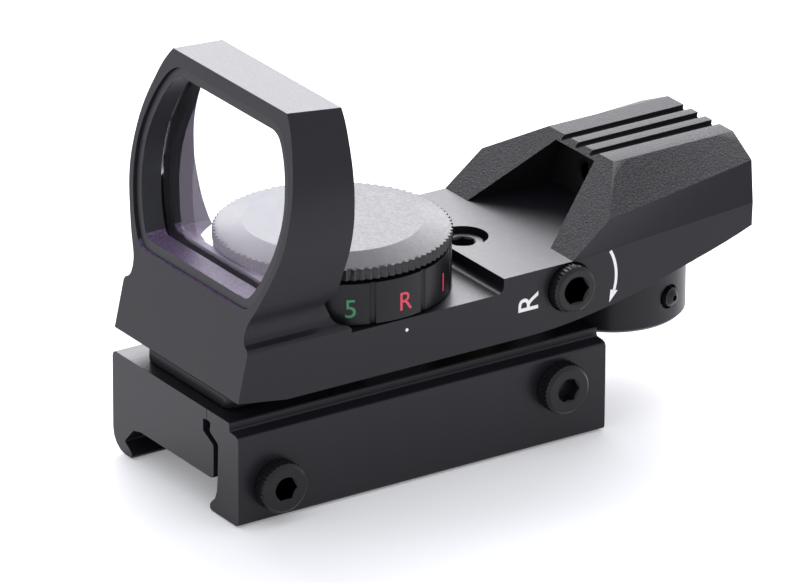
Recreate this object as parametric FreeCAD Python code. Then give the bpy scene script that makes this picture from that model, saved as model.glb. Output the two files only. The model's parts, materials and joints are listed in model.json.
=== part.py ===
import FreeCAD, Part
import math
import os

from FreeCAD import Vector as V

# Open reflex (red dot) sight on a rail clamp.
#
# Working frame of the dimensions below (mm): x = 0 at the clamp's front face,
# growing towards the lens end, so everything behind it is negative; y = 0 on
# the centre line, +y on the side with the screw heads; z = 0 at the bottom of
# the clamp's jaws. On export every piece is moved so that the origin is the
# centre of the face that sits on the rail.

os.makedirs("parts", exist_ok=True)

# ---------------------------------------------------------------- dimensions
CLAMP_L = 59.0            # rail clamp length
CLAMP_TOP = 14.3          # height of the clamp's top face
SEAT_Z = 4.7              # height of the rail seat above the jaw bottoms
ORIGIN = V(29.5, 0.0, -SEAT_Z)

BODY_HW = 15.4            # half width of the housing
BODY_BOTTOM = 16.5
DECK_LOW = 23.7           # deck round the dial
DECK_HIGH = 25.8          # deck behind the step
STEP_X = -42.5
RAKE = 0.222              # lean of the front face, mm back per mm up
FACE_X0, FACE_Z0 = -0.32, 17.87
FRAME_TOP = 56.45
LENS_D0, LENS_D1 = 3.57, 6.07   # glass, measured back from the raked face
LIP_D0, LIP_D1 = 6.32, 7.45     # lip behind the glass

DIAL_X = -25.8
DIAL_R = 15.45
RING_Z0, RING_Z1 = 23.95, 29.85
CAP_R = 15.6
CAP_TEETH = 88
POCKET_R = 17.2

PIVOT_X = -14.0           # kingpin and pitch axis station
PITCH_Z = 19.4
ELEV_X = -46.2
WIND_X, WIND_Z = -53.2, 22.2

HOOD_X0 = -53.7           # front foot of the hood
HOOD_REAR_TOP = -84.6
HOOD_SLOPE = 1.283        # front face of the hood, mm back per mm up
ROOF_Z = 35.0

SEL_X = -70.8             # reticle selector axis
SEL_R = 10.3
SEL_BOTTOM = 10.0

SCREW_HEAD_R = 3.6
CLAMP_SCREWS = {"clamp_screw_front": (-6.0, 5.0), "clamp_screw_rear": (-51.3, 8.4)}
JAW_PIVOT_Y, JAW_PIVOT_Z = 8.15, 14.3


# ------------------------------------------------------------------- helpers
def box(x0, x1, y0, y1, z0, z1):
    x0, x1 = min(x0, x1), max(x0, x1)
    y0, y1 = min(y0, y1), max(y0, y1)
    z0, z1 = min(z0, z1), max(z0, z1)
    return Part.makeBox(x1 - x0, y1 - y0, z1 - z0, V(x0, y0, z0))


def cyl_z(x, y, z0, z1, r):
    return Part.makeCylinder(r, z1 - z0, V(x, y, z0), V(0, 0, 1))


def cyl_y(x, z, y0, y1, r):
    return Part.makeCylinder(r, y1 - y0, V(x, y0, z), V(0, 1, 0))


def cyl_x(y, z, x0, x1, r):
    return Part.makeCylinder(r, x1 - x0, V(x0, y, z), V(1, 0, 0))


def cone_z(x, y, z0, z1, r0, r1):
    return Part.makeCone(r0, r1, z1 - z0, V(x, y, z0), V(0, 0, 1))


def prism_yz(points, x0, x1):
    w = Part.makePolygon([V(x0, y, z) for y, z in points] + [V(x0, points[0][0], points[0][1])])
    return Part.Face(w).extrude(V(x1 - x0, 0, 0))


def prism_xz(points, y0, y1):
    w = Part.makePolygon([V(x, y0, z) for x, z in points] + [V(points[0][0], y0, points[0][1])])
    return Part.Face(w).extrude(V(0, y1 - y0, 0))


def prism_xy(points, z0, z1):
    w = Part.makePolygon([V(x, y, z0) for x, y in points] + [V(points[0][0], points[0][1], z0)])
    return Part.Face(w).extrude(V(0, 0, z1 - z0))


def hex_points(r_flat, turn=0.0):
    r = r_flat / math.cos(math.pi / 6)
    return [(r * math.cos(math.radians(60 * k + turn)), r * math.sin(math.radians(60 * k + turn))) for k in range(6)]


def star_points(teeth, r_out, r_in):
    pts = []
    for k in range(teeth):
        a = 2 * math.pi * k / teeth
        b = 2 * math.pi * (k + 0.5) / teeth
        pts.append((r_out * math.cos(a), r_out * math.sin(a)))
        pts.append((r_in * math.cos(b), r_in * math.sin(b)))
    return pts


def interp(points):
    c = Part.BSplineCurve()
    c.interpolate(points)
    return c.toShape()


def revolve_z(x, y, rz):
    w = Part.makePolygon([V(x + r, y, z) for r, z in rz] + [V(x + rz[0][0], y, rz[0][1])])
    return Part.Face(w).revolve(V(x, y, 0), V(0, 0, 1), 360)


def socket_screw_z(r_head, teeth, h_head, r_shank, l_shank, hex_af, hex_depth):
    """Cap screw on its own axis: head from z=0 up to h_head, shank below."""
    head = prism_xy(star_points(teeth, r_head, r_head - 0.16), 0, h_head - 0.35)
    head = head.fuse(cone_z(0, 0, h_head - 0.35, h_head, r_head - 0.2, r_head - 0.55))
    s = head.fuse(cyl_z(0, 0, -l_shank, 0.05, r_shank))
    s = s.cut(prism_xy(hex_points(hex_af / 2.0), h_head - hex_depth, h_head + 1))
    s = s.cut(cone_z(0, 0, h_head - 0.3, h_head + 0.01, hex_af / 2.0, hex_af / 2.0 + 0.31))
    return s.removeSplitter()


def to_y(shape, x, y, z):
    """Turn a screw built on +z so that its head points along +y, and place it."""
    s = shape.copy()
    s.rotate(V(0, 0, 0), V(1, 0, 0), -90)
    s.translate(V(x, y, z))
    return s


def coil_z(x, y, z0, z1, r_mean, r_wire, turns):
    """Compression spring: a round wire swept along a helix."""
    pitch = (z1 - z0 - 2 * r_wire) / turns
    helix = Part.makeHelix(pitch, pitch * turns, r_mean)
    circ = Part.Wire(Part.makeCircle(r_wire, V(r_mean, 0, 0), V(0, 1, 0)))
    s = Part.Wire(helix.Edges).makePipeShell([circ], True, True)
    s.translate(V(x, y, z0 + r_wire))
    return s


def fillet(shape, r, test):
    """Round the edges whose middle point passes the test; keep the sharp shape if that fails."""
    es = []
    for e in shape.Edges:
        m = e.valueAt((e.FirstParameter + e.LastParameter) / 2.0)
        if test(m, e):
            es.append(e)
    if not es:
        print("no edge for fillet", r)
        return shape
    try:
        f = shape.makeFillet(r, es)
        if f.isValid() and f.Volume > 0:
            return f
    except Exception as err:
        print("fillet failed", r, err)
    return shape


PIECES = {}


def put(name, shape):
    s = shape.copy()
    s.translate(ORIGIN)
    PIECES[name] = s


def face_x(z, back=0.0):
    """x of the raked front plane at height z, moved back by the given depth."""
    return FACE_X0 - RAKE * (z - FACE_Z0) - back


def raked_slab(depth0, depth1, z0=10.0, z1=70.0):
    return prism_xz([(face_x(z0, depth0), z0), (face_x(z1, depth0), z1), (face_x(z1, depth1), z1), (face_x(z0, depth1), z0)], -30, 30)


# ------------------------------------------------------------- rail clamp
block_pts = [
    (-15.6, 13.5), (-15.37, 14.07), (-14.8, 14.3), (8.05, 14.3), (8.05, 12.75), (7.15, 12.6), (7.13, 10.9), (9.6, 9.7),
    (9.7, 9.4), (9.7, 5.3), (9.45, 4.85), (9.0, SEAT_Z), (-8.6, SEAT_Z), (-10.4, 4.25), (-12.5, 2.1), (-12.5, 1.85), (-11.05, 0.9),
    (-10.7, 0.35), (-10.9, 0.0), (-12.6, 0.0), (-13.75, 0.23), (-14.72, 0.88), (-15.37, 1.85), (-15.6, 3.0)]
rail_mount = prism_yz(block_pts, -CLAMP_L, 0)
for name, (sx, sz) in CLAMP_SCREWS.items():
    rail_mount = rail_mount.cut(cyl_y(sx, sz, -5.0, 12.0, 2.6))
# kingpin: counterbore from the rail seat and clearance hole above it
rail_mount = rail_mount.cut(cyl_z(PIVOT_X, 0, 4.0, 7.9, 3.75)).cut(cyl_z(PIVOT_X, 0, 7.0, 15.0, 2.52))
# seats for the elevation nut and the windage post
rail_mount = rail_mount.cut(cyl_z(ELEV_X, 0, 11.4, 15.0, 3.63)).cut(cyl_z(-54.25, 0, 11.6, 15.0, 2.02))
put("rail_mount", rail_mount.removeSplitter())

jaw_pts = [
    (8.15, 14.3), (13.45, 14.3), (13.6, 14.15), (13.62, 13.25), (13.8, 13.05), (15.1, 12.98), (15.6, 12.75), (15.8, 12.3),
    (15.8, 0.6), (15.62, 0.17), (15.2, 0.0), (9.2, 0.0), (8.8, 0.25), (8.78, 0.8), (9.1, 1.25), (10.04, 2.1), (10.5, 3.3), (10.72, 5.3),
    (10.86, 10.0), (10.6, 10.35), (8.95, 11.25), (8.8, 11.5), (8.98, 12.55), (8.8, 12.75), (8.15, 12.78)]
clamp_jaw = prism_yz(jaw_pts, -CLAMP_L, 0)
for name, (sx, sz) in CLAMP_SCREWS.items():
    clamp_jaw = clamp_jaw.cut(cyl_y(sx, sz, 8.0, 17.0, 2.08))
put("clamp_jaw", clamp_jaw.removeSplitter())

clamp_screw = socket_screw_z(SCREW_HEAD_R, 36, 2.5, 2.0, 20.0, 3.0, 1.9)
for name, (sx, sz) in CLAMP_SCREWS.items():
    put(name, to_y(clamp_screw, sx, 15.82, sz))

# kingpin with a flat slotted head below, running in the traverse block
pivot_bolt = cyl_z(PIVOT_X, 0, 5.0, 7.85, 3.6).fuse(cyl_z(PIVOT_X, 0, 7.0, 17.2, 2.5))
pivot_bolt = pivot_bolt.cut(prism_xy([(x + PIVOT_X, y) for x, y in hex_points(1.5)], 4.9, 6.8))
put("pivot_bolt", pivot_bolt.removeSplitter())

# traverse block: bearing plate on the clamp and the tongue that carries the pitch pin
pivot_block = box(-2.0, -24.0, -10.3, 10.3, CLAMP_TOP + 0.1, 16.1)
pivot_block = fillet(pivot_block, 1.2, lambda m, e: abs(abs(m.y) - 10.3) < 0.01 and abs(m.z - 15.25) < 0.01)
tongue = prism_xz([(-9.0, 16.0), (-9.0, 20.6), (-10.4, 22.0), (-17.6, 22.0), (-19.0, 20.6), (-19.0, 16.0)], -5.0, 5.0)
pivot_block = pivot_block.fuse(tongue)
pivot_block = pivot_block.cut(cyl_z(PIVOT_X, 0, 14.0, 17.35, 2.56)).cut(cyl_y(PIVOT_X, PITCH_Z, -6, 6, 1.55))
put("pivot_block", pivot_block.removeSplitter())
put("pivot_pin", cyl_y(PIVOT_X, PITCH_Z, -10.0, 10.0, 1.5))

# elevation nut: shank in the clamp, hexagon flange on top
elevation_nut = cyl_z(ELEV_X, 0, 11.5, 14.4, 3.6).fuse(prism_xy([(x + ELEV_X, y) for x, y in hex_points(4.4)], 14.3, 16.0))
elevation_nut = elevation_nut.cut(cyl_z(ELEV_X, 0, 11.0, 17.0, 2.65))
put("elevation_nut", elevation_nut.removeSplitter())
# stack of disc springs around the elevation screw, drawn as one folded wall
zig = [(2.97 if i % 2 == 0 else 3.35, 16.05 + i * 0.4562) for i in range(9)]
put("elevation_spring", revolve_z(ELEV_X, 0, zig + [(r + 0.28, z) for r, z in reversed(zig)]))

windage_post = box(-51.5, -57.0, -4.2, 4.2, CLAMP_TOP, 23.4)
windage_post = windage_post.cut(box(-50, -58, -4.3, 4.3, 22.6, 24).cut(box(-52.3, -56.2, -5, 5, 22, 25)))
windage_post = windage_post.fuse(cyl_z(-54.25, 0, 11.7, 14.4, 2.0))
put("windage_post", windage_post.removeSplitter())

# ------------------------------------------------------------ main housing
under = [(-83.3, 24.4), (-78.0, 22.6), (-72.0, 20.9), (-66.0, 19.25), (-60.0, 17.95), (-54.0, 17.0), (-48.0, 16.55)]
hood_plane = lambda x: DECK_HIGH + (HOOD_X0 - x) * (27.7 - DECK_HIGH) / (83.4 + HOOD_X0)

p_side = [
    V(face_x(17.6), 0, 17.6), V(face_x(23.9), 0, 23.9), V(-20.0, 0, 23.9), V(-20.0, 0, DECK_LOW), V(-41.45, 0, DECK_LOW)]
# the side profile: straight runs, a cove at the step and a spline under the tail
edges = [Part.makeLine(p_side[i], p_side[i + 1]) for i in range(len(p_side) - 1)]
edges.append(Part.Arc(V(-41.45, 0, DECK_LOW), V(-42.14, 0, 23.99), V(-42.45, 0, 24.7)).toShape())
edges.append(Part.makeLine(V(-42.45, 0, 24.7), V(STEP_X, 0, DECK_HIGH)))
edges.append(Part.makeLine(V(STEP_X, 0, DECK_HIGH), V(HOOD_X0, 0, DECK_HIGH)))
edges.append(Part.makeLine(V(HOOD_X0, 0, DECK_HIGH), V(-83.4, 0, hood_plane(-83.4))))
edges.append(Part.makeLine(V(-83.4, 0, hood_plane(-83.4)), V(-83.3, 0, 24.4)))
edges.append(interp([V(x, 0, z) for x, z in under]))
edges.append(Part.makeLine(V(-48.0, 0, 16.55), V(-46.0, 0, BODY_BOTTOM)))
edges.append(Part.makeLine(V(-46.0, 0, BODY_BOTTOM), V(-8.0, 0, BODY_BOTTOM)))
edges.append(Part.makeLine(V(-8.0, 0, BODY_BOTTOM), p_side[0]))
w = Part.Wire(Part.__sortEdges__(edges))
w.translate(V(0, -BODY_HW, 0))
base = Part.Face(w).extrude(V(0, 2 * BODY_HW, 0))

# lens frame: outline seen from the front, half on the +y side, top to bottom
frame_side = [
    (13.95, FRAME_TOP), (14.72, 55.5), (15.4, 54.55), (16.1, 53.3), (16.85, 51.65), (17.55, 50.0), (18.25, 48.0), (18.75, 45.9),
    (19.02, 43.7), (19.1, 41.8), (19.0, 39.9), (18.68, 38.1), (18.1, 36.2), (17.2, 34.0), (16.35, 32.1), (15.6, 30.6), (14.8, 29.2),
    (14.2, 28.05), (13.95, 27.1), (13.93, 26.4), (14.02, 25.8), (14.25, 25.3), (14.65, 24.98), (15.05, 24.78), (15.32, 24.45), (15.4, 24.0)]
window_side = [
    (10.4, 54.6), (11.6, 54.5), (12.75, 54.1), (13.7, 53.45), (14.8, 52.2), (16.05, 50.2), (17.0, 48.0), (17.7, 45.8), (18.08, 43.7),
    (18.15, 42.0), (18.02, 40.3), (17.72, 38.4), (17.2, 36.6), (16.55, 34.9), (15.7, 33.1), (14.75, 31.55), (13.85, 30.35), (12.7, 29.55),
    (11.4, 29.35), (10.2, 29.33)]


def shrink(points, d):
    """Move a half outline inwards by d along its own normals."""
    out = []
    n = len(points)
    for i in range(n):
        a = points[max(i - 1, 0)]
        b = points[min(i + 1, n - 1)]
        if i == 0:
            a = (points[0][0] - 1.0, points[0][1])
            b = (points[0][0] + 1.0, points[0][1])
        if i == n - 1:
            a = (points[n - 1][0] + 1.0, points[n - 1][1])
            b = (points[n - 1][0] - 1.0, points[n - 1][1])
        tx, tz = b[0] - a[0], b[1] - a[1]
        L = math.hypot(tx, tz)
        nx, nz = tz / L, -tx / L          # inward normal when walking down the +y side
        out.append((points[i][0] + nx * d, points[i][1] + nz * d))
    return out


def closed_prism(side, x0, x1, tail=None):
    """Extrude a symmetric outline along x. The sides are smooth curves, top and bottom straight."""
    right = [V(x0, y, z) for y, z in side]
    left = [V(x0, -y, z) for y, z in side]
    es = [interp(right), interp(left), Part.makeLine(left[0], right[0])]
    if tail is None:
        es.append(Part.makeLine(right[-1], left[-1]))
    else:
        es += [Part.makeLine(right[-1], V(x0, BODY_HW, tail)), Part.makeLine(V(x0, BODY_HW, tail), V(x0, -BODY_HW, tail)),
               Part.makeLine(V(x0, -BODY_HW, tail), left[-1])]
    return Part.Face(Part.Wire(Part.__sortEdges__(es))).extrude(V(x1 - x0, 0, 0))


frame = closed_prism(frame_side, 3.0, -20.0, tail=20.0)
frame_env = prism_xz([
    (face_x(19.5), 19.5), (face_x(FRAME_TOP), FRAME_TOP), (-17.0, 55.75), (-16.35, 47.0), (-15.85, 38.0), (-15.75, 32.5), (-15.9, 28.2),
    (-19.2, 24.6), (-19.2, 19.5)], -25, 25)
frame = frame.common(frame_env)
housing = base.fuse(frame).removeSplitter()
# round pocket for the dial: wide at the knurled cap, tighter round the ring
front_half = box(DIAL_X, 0, -25, 25, 20, 60)
pocket = revolve_z(DIAL_X, 0, [
    (0, DECK_LOW), (POCKET_R, DECK_LOW), (POCKET_R, 25.6), (17.35, 26.6), (17.75, 27.6), (18.2, 28.3), (18.2, 28.8), (17.1, 29.5), (15.95, 30.2),
    (15.9, 33.6), (0, 33.6)])
housing = housing.cut(pocket.common(front_half))
# window: stepped opening parallel to the raked face, clear hole behind it
aperture_side = shrink(window_side, 1.35)
housing = housing.cut(closed_prism(window_side, 3.0, -20.0).common(raked_slab(-3.0, LIP_D0)))
housing = housing.cut(closed_prism(aperture_side, 3.0, -20.0))
housing = housing.cut(closed_prism(window_side, 3.0, -20.0).common(raked_slab(LIP_D1, 18.0)))
# recess for the traverse tongue with blind bores for its pin
housing = housing.cut(box(-7.8, -20.2, -5.5, 5.5, 16.0, 22.4)).cut(cyl_y(PIVOT_X, PITCH_Z, -10.1, 10.1, 1.52))
# electronics bay under the dial, with a ledge for its cover
housing = housing.cut(box(-24.5, -36.5, -9.0, 9.0, 16.0, 22.0)).cut(box(-21.0, -40.0, -12.5, 12.5, 16.0, 17.7))
housing = housing.cut(cyl_z(DIAL_X, 0, 22.0, 24.5, 5.0).common(box(-24.6, -36, -6, 6, 21, 25)))
COVER_SCREWS = [(-22.7, 10.8), (-22.7, -10.8), (-38.3, 10.8), (-38.3, -10.8)]
for x, y in COVER_SCREWS:
    housing = housing.cut(cyl_z(x, y, 17.0, 20.6, 0.92))
# detent pocket under the ring
housing = housing.cut(cyl_z(DIAL_X + 13.6 * math.cos(math.radians(205)), 13.6 * math.sin(math.radians(205)), 20.0, 24.5, 0.95))
# elevation screw: open counterbore in the deck, shoulder, spring room below
housing = housing.cut(cyl_z(ELEV_X, 0, 22.0, 27.0, 3.5)).cut(cyl_z(ELEV_X, 0, 18.0, 23.0, 1.97)).cut(cyl_z(ELEV_X, 0, 16.0, 19.8, 5.3))
# room for the windage post, counterbore and bore of its screw, bore of the plunger opposite
housing = housing.cut(box(-50.9, -58.4, -8.6, 8.6, 16.0, 24.2))
housing = housing.cut(cyl_y(WIND_X, WIND_Z, 13.5, 16.0, 3.55)).cut(cyl_y(WIND_X, WIND_Z, 8.0, 14.0, 1.57))
housing = housing.cut(cyl_y(WIND_X, WIND_Z, -13.6, -8.0, 1.95))
# round recess for the selector drum and bore for its shaft
housing = housing.cut(cyl_z(SEL_X, 0, 15.0, 23.9, SEL_R + 0.25)).cut(cyl_z(SEL_X, 0, 23.0, 29.0, 2.06))
# threads of the hood screws
HOOD_SCREWS = [(-60.2, 11.2), (-60.2, -11.2), (-80.6, 11.6), (-80.6, -11.6)]
for x, y in HOOD_SCREWS:
    housing = housing.cut(cyl_z(x, y, 15.0, 29.0, 1.02))
    housing = housing.cut(cyl_z(x, y, 15.0, (21.6 if x > -70 else 24.9), 1.85))
housing = housing.removeSplitter()
print("housing", housing.isValid(), len(housing.Solids), round(housing.Volume, 1))
put("main_housing", housing)

# ------------------------------------------------------- lens and its ring
retainer = closed_prism(shrink(window_side, 0.12), 3.0, -20.0).common(raked_slab(0.45, 3.55))
retainer = retainer.cut(closed_prism(aperture_side, 3.5, -21.0))
put("lens_retainer", retainer.removeSplitter())
put("objective_lens", closed_prism(shrink(window_side, 0.1), 3.0, -20.0).common(raked_slab(LENS_D0, LENS_D1)).removeSplitter())
seal = closed_prism(shrink(window_side, 0.15), 3.0, -20.0).common(raked_slab(LENS_D1 + 0.01, LIP_D0 - 0.01))
seal = seal.cut(closed_prism(shrink(window_side, 1.3), 3.5, -21.0))
put("lens_seal", seal.removeSplitter())

# -------------------------------------------------------------------- dial
ring = cyl_z(DIAL_X, 0, RING_Z0, RING_Z1, DIAL_R).cut(cyl_z(DIAL_X, 0, 23, 31, 12.0))
ring = ring.cut(cyl_z(DIAL_X, 0, RING_Z1 - 0.9, 31, 14.3).cut(cyl_z(DIAL_X, 0, 23, 32, 13.2)))
for k in range(12):
    a = math.radians(75 + 30 * k)
    ring = ring.cut(cyl_z(DIAL_X + (DIAL_R + 0.3) * math.cos(a), (DIAL_R + 0.3) * math.sin(a), 23, 31, 0.55))
    b = math.radians(25 + 30 * k)
    ring = ring.cut(cyl_z(DIAL_X + 13.6 * math.cos(b), 13.6 * math.sin(b), 23.0, RING_Z0 + 0.35, 0.9))
put("dial_ring", ring.removeSplitter())
# wiper ring with three leaf fingers pressed into the bore of the dial
wiper = cyl_z(DIAL_X, 0, 24.1, 24.45, 11.98).cut(cyl_z(DIAL_X, 0, 24, 25, 11.5))
put("dial_wiper", wiper)

cap_rz = [
    (0, 30.3), (10.5, 30.3), (10.5, 27.6), (11.7, 27.6), (11.7, 30.15), (12.9, 30.15), (12.9, 30.42), (14.6, 30.42), (14.6, 31.0),
    (15.25, 31.0), (15.25, 31.93), (15.0, 32.05), (11.65, 32.95), (11.5, 33.0), (0, 33.0)]
cap = revolve_z(DIAL_X, 0, cap_rz)
rim = prism_xy([(x + DIAL_X, y) for x, y in star_points(CAP_TEETH, CAP_R, CAP_R - 0.42)], 30.42, 31.93).cut(cyl_z(DIAL_X, 0, 30, 32.5, 14.6))
cap = cap.fuse(rim)
put("battery_cap", cap.removeSplitter())
oring = Part.makeTorus(13.75, 0.42, V(DIAL_X, 0, 29.98), V(0, 0, 1))
put("cap_oring", oring)
# dished spring washer under the cap that presses on the cell
put("cap_spring", revolve_z(DIAL_X, 0, [(5.6, 30.28), (5.6, 30.05), (4.9, 30.05), (2.6, 28.42), (1.6, 28.42), (1.6, 28.6), (2.5, 28.6), (4.8, 30.28)]))

holder = revolve_z(DIAL_X, 0, [(0, 23.72), (11.3, 23.72), (11.3, 26.4), (10.2, 26.4), (10.2, 24.7), (0, 24.7)])
put("battery_holder", holder)
put("battery_contact", cyl_z(DIAL_X, 0, 24.71, 24.9, 6.0).cut(cyl_z(DIAL_X, 0, 24, 25, 3.0)))
cell = revolve_z(DIAL_X, 0, [(0, 24.91), (8.9, 24.91), (8.9, 25.25), (9.7, 25.25), (10.0, 25.5), (10.0, 28.0), (9.8, 28.2), (0, 28.2)])
put("battery_cell", cell)

a = math.radians(205)
bx, by = DIAL_X + 13.6 * math.cos(a), 13.6 * math.sin(a)
put("detent_ball", Part.makeSphere(0.8, V(bx, by, 23.35)))
put("detent_spring", coil_z(bx, by, 20.1, 22.5, 0.6, 0.12, 4))

board = box(-24.8, -36.2, -8.7, 8.7, 19.4, 20.6)
for (x, y, sx, sy, h) in [(-27.5, 4.5, 2.2, 1.4, 0.8), (-30.8, -3.0, 3.0, 3.0, 0.7), (-33.6, 4.0, 1.6, 0.9, 0.6), (-27.2, -4.8, 1.6, 0.9, 0.6)]:
    board = board.fuse(box(x - sx / 2, x + sx / 2, y - sy / 2, y + sy / 2, 20.6, 20.6 + h))
put("circuit_board", board.removeSplitter())
cover = box(-21.1, -39.9, -12.4, 12.4, 16.55, 17.68)
for x, y in COVER_SCREWS:
    cover = cover.cut(cyl_z(x, y, 16, 18, 1.0)).cut(cyl_z(x, y, 16, 17.3, 1.7))
put("bottom_cover", cover.removeSplitter())
screws = []
for x, y in COVER_SCREWS:
    s = cyl_z(x, y, 16.62, 17.28, 1.6).fuse(cyl_z(x, y, 17.0, 20.5, 0.9))
    s = s.cut(box(x - 1.1, x + 1.1, y - 0.2, y + 0.2, 16.5, 16.95)).cut(box(x - 0.2, x + 0.2, y - 1.1, y + 1.1, 16.5, 16.95))
    screws.append(s.removeSplitter())
put("cover_screws", Part.makeCompound(screws))

# ----------------------------------------------------------- adjusters
elev = socket_screw_z(3.3, 34, 3.0, 1.9, 10.0, 3.0, 1.9)
elev.translate(V(ELEV_X, 0, 22.02))
put("elevation_screw", elev)
wind = socket_screw_z(3.4, 34, 3.55, 1.5, 8.4, 3.5, 2.2)
put("windage_screw", to_y(wind, WIND_X, 13.55, WIND_Z))
plunger = cyl_y(WIND_X, WIND_Z, -11.0, -5.4, 1.85).cut(cyl_y(WIND_X, WIND_Z, -11.5, -7.2, 1.2))
plunger = fillet(plunger, 0.5, lambda m, e: abs(m.y + 5.4) < 0.01)
put("windage_plunger", plunger)
ws = coil_z(0, 0, 0, 6.2, 0.85, 0.15, 6)
put("windage_spring", to_y(ws, WIND_X, -13.5, WIND_Z))

# -------------------------------------------------------------------- hood
front = lambda z: HOOD_X0 - HOOD_SLOPE * (z - DECK_HIGH)
rear = lambda z: -83.4 - (z - 27.7) * 0.27


def wire6(pts):
    return Part.makePolygon([V(*p) for p in pts] + [V(*pts[0])])


def sides(xf, pts):
    return [(xf(z), y, z) for y, z in pts] + [(xf(z), -y, z) for y, z in reversed(pts)]


f_pts = sides(front, [(BODY_HW, DECK_HIGH), (15.3, 30.4), (7.7, ROOF_Z)])
r_pts = sides(rear, [(BODY_HW, 27.7), (13.0, 32.8), (7.7, 35.1)])
hood = Part.makeLoft([wire6(f_pts), wire6(r_pts)], True, True)
cav_f = sides(lambda z: front(z) + 2.0, [(10.6, DECK_HIGH - 0.6), (4.5, 34.3)])
cav_r = sides(lambda z: -76.2, [(7.6, 26.2), (5.2, 33.9)])
cavity = Part.makeLoft([wire6(cav_f), wire6(cav_r)], True, True)
hood = hood.cut(cavity)
for y in (-3.1, 0.25, 3.6):
    groove = prism_yz([(y - 0.85, ROOF_Z + 0.4), (y - 0.75, ROOF_Z - 0.45), (y - 0.4, ROOF_Z - 0.6), (y + 1.5, ROOF_Z + 0.4)], -90, -60)
    hood = hood.cut(groove)
for x, y in HOOD_SCREWS:
    hood = hood.cut(cyl_z(x, y, 24.0, 29.6 if x > -70 else 30.6, 0.92))
hood = hood.cut(cyl_z(SEL_X, 0, 25.0, 34.15, 3.9))
hood.translate(V(0, 0, 0.02))
hood = hood.removeSplitter()
print("hood", hood.isValid(), len(hood.Solids), round(hood.Volume, 1))
put("emitter_hood", hood)
screws = []
for x, y in HOOD_SCREWS:
    top = 29.3 if x > -70 else 30.3
    seat = 21.6 if x > -70 else 24.9
    s = cyl_z(x, y, seat - 1.2, seat - 0.01, 1.7).fuse(cyl_z(x, y, seat - 0.3, top, 0.9))
    s = s.cut(box(x - 1.1, x + 1.1, y - 0.2, y + 0.2, seat - 1.3, seat - 0.7)).cut(box(x - 0.2, x + 0.2, y - 1.1, y + 1.1, seat - 1.3, seat - 0.7))
    screws.append(s.removeSplitter())
put("hood_screws", Part.makeCompound(screws))

plate = cavity.common(box(-66.2, -66.85, -12, 12, 24, 36)).cut(box(-60, -70, -15, 15, 20, hood_plane(-66.2) + 0.06))
plate = plate.cut(cyl_x(0, 30.4, -68, -65, 1.5)).cut(Part.makeCone(1.5, 2.6, 0.4, V(-66.55, 0, 30.4), V(1, 0, 0)))
plate.translate(V(0, 0, 0.02))
put("aperture_plate", plate.removeSplitter())

led_holder = cyl_z(SEL_X, 0, 29.6, 34.16, 2.1).cut(box(SEL_X + 0.9, SEL_X + 4, -3, 3, 29, 32.4)).cut(cyl_x(0, 30.6, SEL_X - 0.9, SEL_X + 2, 0.72))
put("led_holder", led_holder.removeSplitter())
led = cyl_x(0, 30.6, SEL_X - 0.8, SEL_X + 1.3, 0.7).fuse(Part.makeSphere(0.7, V(SEL_X + 1.3, 0, 30.6)))
put("led_emitter", led.removeSplitter())

# ---------------------------------------------------------------- selector
drum = cyl_z(SEL_X, 0, SEL_BOTTOM + 0.5, 23.6, SEL_R).fuse(cone_z(SEL_X, 0, SEL_BOTTOM, SEL_BOTTOM + 0.5, SEL_R - 0.5, SEL_R))
drum = drum.cut(cyl_z(SEL_X, 0, 12.4, 24.0, 7.6)).fuse(cyl_z(SEL_X, 0, 12.0, 28.55, 2.0)).fuse(cyl_z(SEL_X, 0, 12.0, 22.5, 3.2))
lever = prism_xy([(-8.6, -2.4), (-12.9, -1.9), (-13.5, -1.3), (-13.5, 1.3), (-12.9, 1.9), (-8.6, 2.4)], SEL_BOTTOM + 0.6, SEL_BOTTOM + 3.6)
lever.rotate(V(0, 0, 0), V(0, 0, 1), 16)
lever.translate(V(SEL_X, 0, 0))
drum = drum.fuse(lever)
SEL_SCREW_A = 106.0
ca, sa = math.cos(math.radians(SEL_SCREW_A)), math.sin(math.radians(SEL_SCREW_A))
sdir = V(ca, sa, 0)
at = lambda r, z: V(SEL_X + r * ca, r * sa, z)
drum = drum.cut(Part.makeCylinder(1.75, 2.0, at(9.5, 14.1), sdir)).cut(Part.makeCylinder(0.82, 8.0, at(6.5, 14.1), sdir))
put("reticle_selector", drum.removeSplitter())
sscrew = Part.makeCylinder(1.35, 1.3, at(9.52, 14.1), sdir).fuse(Part.makeCylinder(0.8, 2.0, at(7.7, 14.1), sdir))
sscrew = sscrew.fuse(Part.makeSphere(1.6, at(9.75, 14.1)).common(Part.makeCylinder(1.35, 1.6, at(9.9, 14.1), sdir)))
sscrew = sscrew.cut(Part.makeCylinder(0.42, 2.0, at(10.7, 14.1), sdir))
put("selector_screw", sscrew.removeSplitter())

reticle = cyl_z(SEL_X, 0, 27.95, 33.3, 3.2).cut(cyl_z(SEL_X, 0, 28.6, 34, 2.7)).cut(cyl_z(SEL_X, 0, 27, 29, 2.02))
for k in range(4):
    w_ = box(2.0, 5.0, -0.55, 0.55, 29.6, 31.6)
    w_.rotate(V(0, 0, 0), V(0, 0, 1), 30 * (k - 1))
    w_.translate(V(SEL_X, 0, 0))
    reticle = reticle.cut(w_)
put("reticle_drum", reticle.removeSplitter())
put("reticle_film", cyl_z(SEL_X, 0, 29.0, 32.4, 3.38).cut(cyl_z(SEL_X, 0, 28.5, 33, 3.21)))

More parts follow.
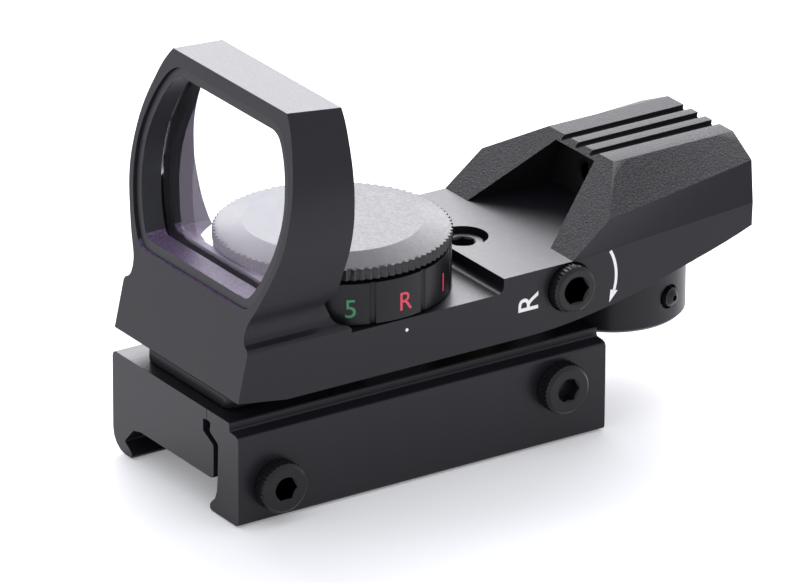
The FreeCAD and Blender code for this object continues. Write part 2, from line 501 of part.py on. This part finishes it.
# ------------------------------------------------------------------ export
for name, shape in sorted(PIECES.items()):
    n = len(shape.Solids)
    if n == 0 or not shape.isValid():
        print("PROBLEM", name, n, shape.isValid())
    if n == 1:
        shape = shape.Solids[0]
    shape.exportStep("parts/%s.step" % name)
bb = FreeCAD.BoundBox()
for s in PIECES.values():
    bb.add(s.BoundBox)
print(len(PIECES), "pieces", [round(v, 2) for v in (bb.XMin, bb.XMax, bb.YMin, bb.YMax, bb.ZMin, bb.ZMax)])
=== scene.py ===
import bpy
import json
import math
from mathutils import Matrix, Vector


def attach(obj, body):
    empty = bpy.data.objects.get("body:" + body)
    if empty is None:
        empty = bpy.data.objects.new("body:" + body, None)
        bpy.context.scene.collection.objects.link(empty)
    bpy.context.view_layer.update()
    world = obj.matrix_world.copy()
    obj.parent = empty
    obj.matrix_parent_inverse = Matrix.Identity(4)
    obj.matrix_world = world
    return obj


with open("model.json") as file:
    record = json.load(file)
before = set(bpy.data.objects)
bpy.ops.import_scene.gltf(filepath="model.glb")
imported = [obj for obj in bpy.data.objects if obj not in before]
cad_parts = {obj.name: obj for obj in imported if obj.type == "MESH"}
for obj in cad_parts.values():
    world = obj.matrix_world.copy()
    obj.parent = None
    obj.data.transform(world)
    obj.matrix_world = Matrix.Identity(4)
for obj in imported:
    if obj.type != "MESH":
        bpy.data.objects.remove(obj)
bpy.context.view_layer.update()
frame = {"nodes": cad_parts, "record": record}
NODES = frame["nodes"]

# Row frame: x forward to the lens, y to the side with the screw heads, z up. Origin at the rail seat.
# Places below are given in mm from the clamp's front face and the jaws' bottom, as in the CAD.
OX, OZ = 29.5, -4.7


def P(x, y, z):
    return Vector(((x + OX) / 1000.0, y / 1000.0, (z + OZ) / 1000.0))


scene = bpy.context.scene
scene.view_settings.view_transform = "Standard"
scene.view_settings.look = "None"
scene.view_settings.exposure = 0.0
scene.view_settings.gamma = 1.0

# ------------------------------------------------------------------ camera
cam_at = P(550.94, 880.03, 470.22)
az, el, roll = math.radians(146.297), math.radians(23.056), math.radians(0.296)
back = Vector((math.sin(az) * math.cos(el), -math.cos(az) * math.cos(el), math.sin(el)))
fw = -back
right = fw.cross(Vector((0, 0, 1))).normalized()
up = right.cross(fw)
rt = right * math.cos(roll) + up * math.sin(roll)
up2 = -right * math.sin(roll) + up * math.cos(roll)
cam_data = bpy.data.cameras.new("camera")
cam_data.sensor_width = 36.0
cam_data.lens = 8520.41 * 36.0 / 800.0
cam_data.clip_start = 0.05
cam_data.clip_end = 50.0
cam = bpy.data.objects.new("camera", cam_data)
m = Matrix((rt, up2, -fw)).transposed().to_4x4()
m.translation = cam_at
cam.matrix_world = m
scene.collection.objects.link(cam)
scene.camera = cam


# --------------------------------------------------------------- materials
class Mat:
    """A small helper around one Principled material with object-space procedural detail."""

    def __init__(self, name, color, rough, metallic=0.0, ior=1.5, alpha=1.0):
        self.m = bpy.data.materials.new(name)
        self.m.use_nodes = True
        self.t = self.m.node_tree
        self.b = self.t.nodes["Principled BSDF"]
        self.b.inputs["Base Color"].default_value = (*color, 1.0)
        self.b.inputs["Roughness"].default_value = rough
        self.b.inputs["Metallic"].default_value = metallic
        self.b.inputs["IOR"].default_value = ior
        self.color = color
        self.rough = rough
        self.tc = self.node("ShaderNodeTexCoord")
        self.height = None

    def node(self, kind, **kw):
        n = self.t.nodes.new(kind)
        for k, v in kw.items():
            setattr(n, k, v)
        return n

    def link(self, a, b):
        self.t.links.new(a, b)

    def mapping(self, scale=(1, 1, 1), loc=(0, 0, 0)):
        mp = self.node("ShaderNodeMapping")
        mp.inputs["Scale"].default_value = scale
        mp.inputs["Location"].default_value = loc
        self.link(self.tc.outputs["Object"], mp.inputs["Vector"])
        return mp.outputs["Vector"]

    def noise(self, scale, detail=3.0, rough=0.55, stretch=(1, 1, 1)):
        n = self.node("ShaderNodeTexNoise")
        n.inputs["Scale"].default_value = scale
        n.inputs["Detail"].default_value = detail
        n.inputs["Roughness"].default_value = rough
        self.link(self.mapping(stretch), n.inputs["Vector"])
        return n.outputs["Fac"]

    def ranged(self, fac, lo, hi, a=0.3, b=0.7):
        r = self.node("ShaderNodeMapRange")
        r.inputs["From Min"].default_value = a
        r.inputs["From Max"].default_value = b
        r.inputs["To Min"].default_value = lo
        r.inputs["To Max"].default_value = hi
        self.link(fac, r.inputs["Value"])
        return r.outputs["Result"]

    def vary_color(self, fac, dark, light):
        r = self.node("ShaderNodeMix", data_type="RGBA")
        r.inputs[6].default_value = (*dark, 1)
        r.inputs[7].default_value = (*light, 1)
        self.link(fac, r.inputs[0])
        self.color_out = r.outputs[2]
        self.link(r.outputs[2], self.b.inputs["Base Color"])
        return r.outputs[2]

    def edge_wear(self, light, lo=0.53, hi=0.62, amount=0.6, breakup=900.0):
        """Lighter colour where the surface is convex, broken up by noise."""
        g = self.node("ShaderNodeNewGeometry")
        e = self.ranged(g.outputs["Pointiness"], 0.0, amount, lo, hi)
        nz = self.ranged(self.noise(breakup, 4.0), 0.0, 1.0, 0.42, 0.62)
        mul = self.node("ShaderNodeMath", operation="MULTIPLY")
        self.link(e, mul.inputs[0])
        self.link(nz, mul.inputs[1])
        mx = self.node("ShaderNodeMix", data_type="RGBA")
        mx.inputs[7].default_value = (*light, 1)
        self.link(mul.outputs[0], mx.inputs[0])
        self.link(self.color_out, mx.inputs[6])
        self.color_out = mx.outputs[2]
        self.link(mx.outputs[2], self.b.inputs["Base Color"])

    def vary_rough(self, fac, lo, hi):
        self.link(self.ranged(fac, lo, hi), self.b.inputs["Roughness"])

    def bump(self, fac, strength, distance):
        n = self.node("ShaderNodeBump")
        n.inputs["Strength"].default_value = strength
        n.inputs["Distance"].default_value = distance
        self.link(fac, n.inputs["Height"])
        if self.height is not None:
            self.link(self.height, n.inputs["Normal"])
        self.height = n.outputs["Normal"]
        self.link(self.height, self.b.inputs["Normal"])


def satin_black(name, base, rough, grain=2600.0, bump=0.05, streak=None, spread=0.04, wear=False, ior=1.36):
    M = Mat(name, base, rough, ior=ior)
    big = M.noise(900.0, 3.0)
    M.vary_color(big, tuple(c * 0.9 for c in base), tuple(c * 1.1 for c in base))
    if wear:
        M.edge_wear(tuple(min(1, c * 3.5 + 0.05) for c in base))
    fine = M.noise(grain, 4.0, 0.6, streak or (1, 1, 1))
    M.vary_rough(fine, rough - spread, rough + spread)
    M.bump(fine, bump, 0.00003)
    return M


MATS = {}
MATS["clamp_black"] = satin_black("clamp_anodised", (0.009, 0.009, 0.012), 0.34, 1800.0, 0.04, (0.06, 1, 1)).m
MATS["housing_black"] = satin_black("housing_anodised", (0.008, 0.008, 0.011), 0.34, 3200.0, 0.05).m
MATS["screw_black"] = satin_black("screw_oxide", (0.007, 0.007, 0.008), 0.3, 5000.0, 0.08).m

H = Mat("hood_blasted", (0.01, 0.01, 0.012), 0.46, ior=1.33)
grit = H.noise(3000.0, 3.0, 0.7)
H.vary_color(H.ranged(grit, 0, 1, 0.44, 0.62), (0.001, 0.001, 0.0015), (0.034, 0.034, 0.041))
H.vary_rough(grit, 0.42, 0.6)
H.bump(grit, 0.9, 0.00012)
MATS["hood_textured"] = H.m

# painted shade: a darker, weakly reflecting black standing in for the shade inside the hood and in its roof grooves
H = Mat("hood_inner_painted_shade", (0.006, 0.006, 0.007), 0.85)
H.vary_color(H.noise(3000.0), (0.004, 0.004, 0.004), (0.01, 0.01, 0.011))
H.b.inputs["Specular IOR Level"].default_value = 0.15
H.bump(H.noise(4000.0), 0.3, 0.00005)
MATS["hood_inner"] = H.m

H = Mat("retainer_satin", (0.02, 0.02, 0.025), 0.42, ior=1.4)
g = H.noise(2600.0, 4.0)
H.vary_color(g, (0.014, 0.014, 0.018), (0.024, 0.024, 0.029))
H.vary_rough(g, 0.36, 0.5)
H.bump(g, 0.06, 0.00003)
MATS["retainer_grey"] = H.m

H = Mat("lens_glass", (0.97, 0.99, 0.985), 0.0, ior=1.52)
H.b.inputs["Transmission Weight"].default_value = 1.0
H.b.inputs["Specular Tint"].default_value = (0.86, 0.66, 1.0, 1.0)
sm = H.noise(60.0, 3.0)
H.vary_rough(sm, 0.0, 0.012)
H.bump(H.noise(90.0, 2.0), 0.01, 0.00002)
MATS["coated_glass"] = H.m

H = Mat("seal_rubber", (0.012, 0.012, 0.012), 0.7)
g = H.noise(2200.0)
H.vary_color(g, (0.008, 0.008, 0.008), (0.02, 0.02, 0.02))
H.vary_rough(g, 0.6, 0.8)
H.bump(g, 0.1, 0.00004)
MATS["seal_rubber"] = H.m

H = Mat("bore_dark", (0.012, 0.012, 0.015), 0.6, ior=1.3)
g = H.noise(2600.0, 4.0)
H.vary_color(g, (0.009, 0.009, 0.011), (0.016, 0.016, 0.02))
H.vary_rough(g, 0.52, 0.66)
H.bump(g, 0.06, 0.00003)
BORE = H.m

# painted reflection: a violet base colour on the sills under the lens, standing in for the lens coating's
# reflection
H = Mat("sill_painted_violet_reflection", (0.10, 0.07, 0.13), 0.42, ior=1.4)
g = H.noise(3800.0, 4.0, 0.7)
H.vary_color(H.ranged(g, 0, 1, 0.4, 0.62), (0.05, 0.035, 0.065), (0.17, 0.12, 0.21))
H.vary_rough(g, 0.34, 0.5)
H.bump(g, 0.15, 0.00004)
H.b.inputs["Specular Tint"].default_value = (0.80, 0.58, 1.0, 1.0)
SILL_PAINTED_REFLECTION = H.m

MATS["dial_black"] = satin_black("dial_anodised", (0.006, 0.006, 0.008), 0.38, 2400.0, 0.05, (1, 1, 0.1)).m

# turned cap: fine concentric tool marks on the flat, satin bevel and knurl
H = Mat("cap_turned", (0.02, 0.02, 0.024), 0.34, ior=1.45)
big = H.noise(140.0, 3.0)
H.vary_color(big, (0.014, 0.014, 0.016), (0.024, 0.024, 0.027))
c = P(-25.8, 0, 0)
w = H.node("ShaderNodeTexWave", wave_type="RINGS", rings_direction="Z")
w.inputs["Scale"].default_value = 1500.0
w.inputs["Distortion"].default_value = 0.6
w.inputs["Detail"].default_value = 2.0
H.link(H.mapping((1, 1, 1), (-c.x, -c.y, 0)), w.inputs["Vector"])
H.bump(w.outputs["Fac"], 0.10, 0.00002)
H.vary_rough(H.noise(2600.0, 4.0), 0.3, 0.44)
H.bump(H.noise(3000.0, 4.0), 0.05, 0.00003)
MATS["cap_black"] = H.m


def plain(name, col, rough, metallic=0.0, scale=1500.0, bump=0.05, emit=None):
    M = Mat(name, col, rough, metallic)
    g_ = M.noise(scale, 3.0)
    M.vary_color(g_, tuple(v * 0.85 for v in col), tuple(min(1, v * 1.12) for v in col))
    M.vary_rough(g_, max(0.02, rough - 0.06), rough + 0.06)
    M.bump(g_, bump, 0.00004)
    return M.m


MATS["bright_steel"] = plain("ground_steel", (0.6, 0.6, 0.6), 0.28, 1.0)
MATS["spring_steel"] = plain("spring_wire", (0.5, 0.5, 0.5), 0.3, 1.0)
MATS["brass"] = plain("brass_plain", (0.72, 0.52, 0.24), 0.3, 1.0)
MATS["cell_nickel"] = plain("cell_nickel", (0.7, 0.7, 0.68), 0.25, 1.0)
MATS["inner_plastic"] = plain("inner_plastic", (0.03, 0.03, 0.03), 0.5)
MATS["board_green"] = plain("board_mask", (0.03, 0.18, 0.08), 0.4)
MATS["led_lens"] = plain("led_epoxy", (0.45, 0.03, 0.03), 0.15)
MATS["reticle_film"] = plain("reticle_film", (0.05, 0.05, 0.05), 0.2)

slot_of = {s["node"]: s["material_slot"] for s in frame["record"]["subparts"]}
for name, o in NODES.items():
    o.data.materials.clear()
    o.data.materials.append(MATS[slot_of[name]])


def finish_cad(name, width, segments=2, angle=32.0):
    """Merge the imported triangles' vertices, round the sharp edges a little and smooth the curved faces."""
    o = NODES[name]
    w_ = o.modifiers.new("weld", "WELD")
    w_.merge_threshold = 2e-6
    d_ = o.modifiers.new("planar", "DECIMATE")
    d_.decimate_type = "DISSOLVE"
    d_.angle_limit = math.radians(0.6)
    d_.delimit = {"MATERIAL"}
    if width:
        b_ = o.modifiers.new("edge", "BEVEL")
        b_.width = width / 1000.0
        b_.segments = segments
        b_.limit_method = "ANGLE"
        b_.angle_limit = math.radians(angle)
        b_.use_clamp_overlap = True
        b_.harden_normals = False
        b_.miter_outer = "MITER_SHARP"
    for p in o.data.polygons:
        p.use_smooth = True
    wn = o.modifiers.new("normals", "WEIGHTED_NORMAL")
    wn.keep_sharp = True
    wn.weight = 60


# -------------------------------------------------------------- lettering
def flat_mesh(name, verts, faces, mat, body):
    me = bpy.data.meshes.new(name)
    me.from_pydata([tuple(v) for v in verts], [], faces)
    me.update()
    o = bpy.data.objects.new(name, me)
    scene.collection.objects.link(o)
    o.data.materials.append(mat)
    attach(o, body)
    return o


def text_mesh(txt, height, thickness=0.03, weight=0.0):
    """Verts (mm) and faces of a figure centred on 0,0, of the given height."""
    cu = bpy.data.curves.new("txt", "FONT")
    cu.body = txt
    cu.size = 1.0
    cu.extrude = 0.02
    cu.offset = weight
    cu.resolution_u = 6
    ob = bpy.data.objects.new("txt", cu)
    scene.collection.objects.link(ob)
    bpy.context.view_layer.update()
    dg = bpy.context.evaluated_depsgraph_get()
    me = bpy.data.meshes.new_from_object(ob.evaluated_get(dg))
    vs = [v.co.copy() for v in me.vertices]
    fs = [tuple(p.vertices) for p in me.polygons]
    bpy.data.objects.remove(ob)
    bpy.data.curves.remove(cu)
    bpy.data.meshes.remove(me)
    x0, x1 = min(v.x for v in vs), max(v.x for v in vs)
    y0, y1 = min(v.y for v in vs), max(v.y for v in vs)
    k = height / (y1 - y0)
    return [((v.x - (x0 + x1) / 2) * k, (v.y - (y0 + y1) / 2) * k, thickness if v.z > 0 else -0.03) for v in vs], fs


def paint(name, col, rough=0.5):
    M = Mat(name, col, rough)
    g_ = M.noise(2500.0, 3.0)
    M.vary_color(g_, tuple(v * 0.85 for v in col), tuple(min(1, v * 1.1) for v in col))
    M.vary_rough(g_, rough - 0.08, rough + 0.08)
    M.bump(g_, 0.08, 0.00003)
    return M.m


RED = paint("figure_red", (0.62, 0.05, 0.09))
GREEN = paint("figure_green", (0.04, 0.22, 0.09))
WHITE = paint("mark_white", (0.8, 0.8, 0.78))

RING_R = 15.45
labels = ["R", "1", "2", "3", "4", "5", "G", "1", "2", "3", "4", "5"]
for k, s in enumerate(labels):
    a = math.radians(93.6 + 30.0 * k)
    vs, fs = text_mesh(s, 2.55, 0.02, 0.0)
    out = []
    for x, y, z in vs:
        b = a + x / RING_R
        out.append(P(-25.8 + (RING_R + z) * math.cos(b), (RING_R + z) * math.sin(b), 26.35 + y))
    flat_mesh("dial_figure_%02d" % k, out, fs, RED if k < 6 else GREEN, "dial")

SIDE = 15.4
vs, fs = text_mesh("R", 3.2, 0.02, 0.006)
out = [P(-46.45 + y, SIDE + z, 21.55 + x) for x, y, z in vs]
fs = [tuple(reversed(f)) for f in fs] if True else fs
flat_mesh("mark_r", out, fs, WHITE, "housing")


def slab_on_side(name, outline, mat):
    """A closed thin plate on the housing's side from an (x, z) outline."""
    n = len(outline)
    lo = [P(x, SIDE - 0.03, z) for x, z in outline]
    hi = [P(x, SIDE + 0.02, z) for x, z in outline]
    faces = [tuple(range(n - 1, -1, -1)), tuple(range(n, 2 * n))]
    faces += [(i, (i + 1) % n, n + (i + 1) % n, n + i) for i in range(n)]
    o = flat_mesh(name, lo + hi, faces, mat, "housing")
    bm_fix(o)
    return o


def bm_fix(o):
    import bmesh
    bm = bmesh.new()
    bm.from_mesh(o.data)
    bmesh.ops.recalc_face_normals(bm, faces=bm.faces)
    bm.to_mesh(o.data)
    bm.free()


bm_fix(bpy.data.objects["mark_r"])
AX, AZ, AR = -53.35, 22.2, 7.45
arc = []
N = 18
for i in range(N + 1):
    t = math.radians(180 - 30 + 47 * i / N)
    wd = 0.22
    arc.append((AX + (AR + wd) * math.cos(t), AZ - (AR + wd) * -math.sin(t)))
inner = []
for i in range(N, -1, -1):
    t = math.radians(180 - 30 + 47 * i / N)
    inner.append((AX + (AR - 0.22) * math.cos(t), AZ + (AR - 0.22) * math.sin(t)))
slab_on_side("mark_arrow_shaft", arc + inner, WHITE)
t = math.radians(180 + 17)
hx, hz = AX + AR * math.cos(t), AZ + AR * math.sin(t)
tx, tz = -math.sin(t), math.cos(t)
nx, nz = math.cos(t), math.sin(t)
slab_on_side("mark_arrow_head", [(hx + nx * 0.62 - tx * 0.05, hz + nz * 0.62 - tz * 0.05), (hx - nx * 0.62 - tx * 0.05, hz - nz * 0.62 - tz * 0.05), (hx + tx * 1.75 - nx * 0.25, hz + tz * 1.75 - nz * 0.25)], WHITE)
slab_on_side("mark_index_dot", [(-26.9 + 0.24 * math.cos(2 * math.pi * i / 16), 22.05 + 0.24 * math.sin(2 * math.pi * i / 16)) for i in range(16)], WHITE)

# hood: smooth lower flanks, painted shade (a flat, darker, weakly reflecting black) inside and in the roof grooves,
# blasted elsewhere
hood = NODES["emitter_hood"].data
hood.materials.append(MATS["housing_black"])
hood.materials.append(MATS["hood_inner"])
for p in hood.polygons:
    n, c = p.normal, p.center
    x, y, z = c.x * 1000.0 - OX, c.y * 1000.0, c.z * 1000.0 - OZ
    if n.x > 0.9 or n.z < -0.5 or (n.y * y < 0.0 and abs(n.y) > 0.3 and abs(y) > 0.3 and z < 34.2):
        p.material_index = 2
    # roof grooves: painted shade
    elif z > 33.9 and abs(y) < 5.6 and z < 34.97 and abs(n.x) < 0.5:
        p.material_index = 2
    elif abs(n.y) > 0.86 and abs(y) > 9.0:
        p.material_index = 1

ring = NODES["lens_retainer"].data
ring.materials.append(SILL_PAINTED_REFLECTION)
# the retainer's upward-facing sill under the glass carries the painted violet reflection
for p in ring.polygons:
    if p.normal.z > 0.7 and p.center.z * 1000.0 - OZ < 32.5:
        p.material_index = 1

# lens frame: dull bore, and a painted violet reflection of the lens coating on the sill under the glass
body = NODES["main_housing"].data
body.materials.append(BORE)
body.materials.append(SILL_PAINTED_REFLECTION)
for p in body.polygons:
    n, c = p.normal, p.center
    x, y, z = c.x * 1000.0 - OX, c.y * 1000.0, c.z * 1000.0 - OZ
    if z > 28.2 and x > -20.0:
        # upward faces of the sill under the glass: painted violet reflection
        if n.z > 0.7 and abs(y) < 14.5 and z < 31.5:
            p.material_index = 2
        elif n.y * y < 0.0 and abs(n.y) > 0.25 or (n.z < -0.5 and z > 50.0):
            p.material_index = 1

# ---------------------------------------------------------- CAD finishing
for n, wd in {"rail_mount": 0.18, "clamp_jaw": 0.18, "main_housing": 0.16, "emitter_hood": 0.14, "lens_retainer": 0.08, "battery_cap": 0.05, "dial_ring": 0.08,
              "clamp_screw_front": 0.05, "clamp_screw_rear": 0.05, "elevation_screw": 0.05, "windage_screw": 0.05, "reticle_selector": 0.15,
              "pivot_block": 0.15, "bottom_cover": 0.1, "selector_screw": 0.05, "objective_lens": 0.08, "windage_post": 0.1, "elevation_nut": 0.1}.items():
    finish_cad(n, wd)
for n in NODES:
    if not NODES[n].modifiers:
        finish_cad(n, 0)

# ------------------------------------------------------------------- stage
me = bpy.data.meshes.new("floor")
S = 3.0
zf = OZ / 1000.0 - 0.0002
me.from_pydata([(-S, -S, zf), (S, -S, zf), (S, S, zf), (-S, S, zf)], [], [(0, 1, 2, 3)])
floor = bpy.data.objects.new("floor", me)
scene.collection.objects.link(floor)
F = Mat("floor_paper", (0.86, 0.86, 0.86), 0.7)
F.vary_color(F.noise(6.0, 2.0), (0.85, 0.85, 0.85), (0.87, 0.87, 0.87))
F.b.inputs["Emission Color"].default_value = (1.0, 1.0, 1.0, 1.0)
F.b.inputs["Emission Strength"].default_value = 0.18
floor.data.materials.append(F.m)

world = bpy.data.worlds.new("world")
scene.world = world
world.use_nodes = True
bg = world.node_tree.nodes["Background"]
bg.inputs["Color"].default_value = (0.93, 0.94, 1.0, 1.0)
bg.inputs["Strength"].default_value = 1.02


def area(name, at, target, sx, sy, power, color=(1, 1, 1)):
    L = bpy.data.lights.new(name, "AREA")
    L.shape = "RECTANGLE"
    L.size, L.size_y = sx, sy
    L.energy = power
    L.color = color
    o = bpy.data.objects.new(name, L)
    o.location = at
    o.rotation_euler = (Vector(target) - Vector(at)).to_track_quat("-Z", "Y").to_euler()
    scene.collection.objects.link(o)
    return o


area("softbox_back", (-0.50, -0.74, 0.52), (0, 0, 0.02), 1.2, 0.8, 17.0, (0.96, 0.95, 1.0))
